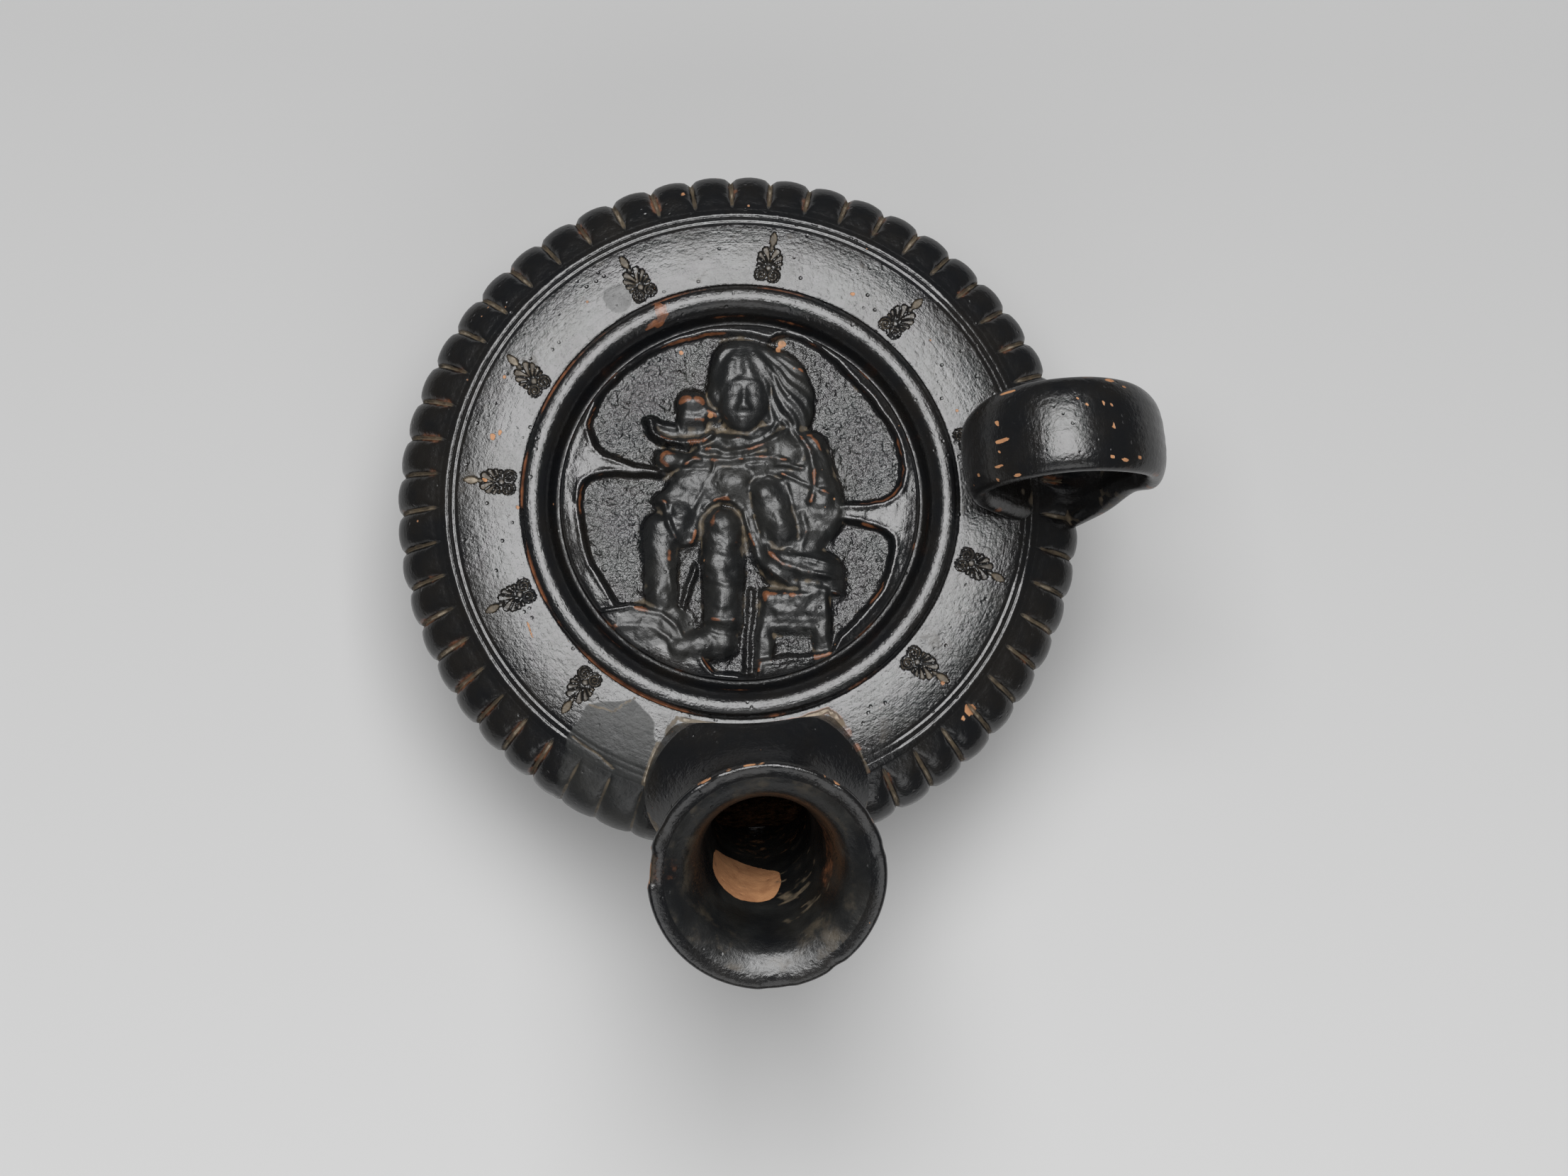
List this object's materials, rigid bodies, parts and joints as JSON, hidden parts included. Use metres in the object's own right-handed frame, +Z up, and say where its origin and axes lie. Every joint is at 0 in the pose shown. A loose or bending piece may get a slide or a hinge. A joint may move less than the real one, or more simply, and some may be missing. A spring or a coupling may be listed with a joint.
{
  "type": "guttus",
  "caption": "Low round ribbed oil vessel of black-glazed clay with a relief medallion on its flat top, a flaring spout and a ring handle.",
  "frame": {"origin": "under the middle of the whole vessel's bounding box, on the plane it stands on", "axes": "+Z up, spout towards -Y, ring handle towards +X"},
  "size_m": [0.1248, 0.1374, 0.0832],
  "materials": {
    "black_glaze": "glossy black glaze over orange clay, worn and earthy"
  },
  "bodies": {
    "root": {"guttus": "black_glaze"}
  },
  "joints": []
}
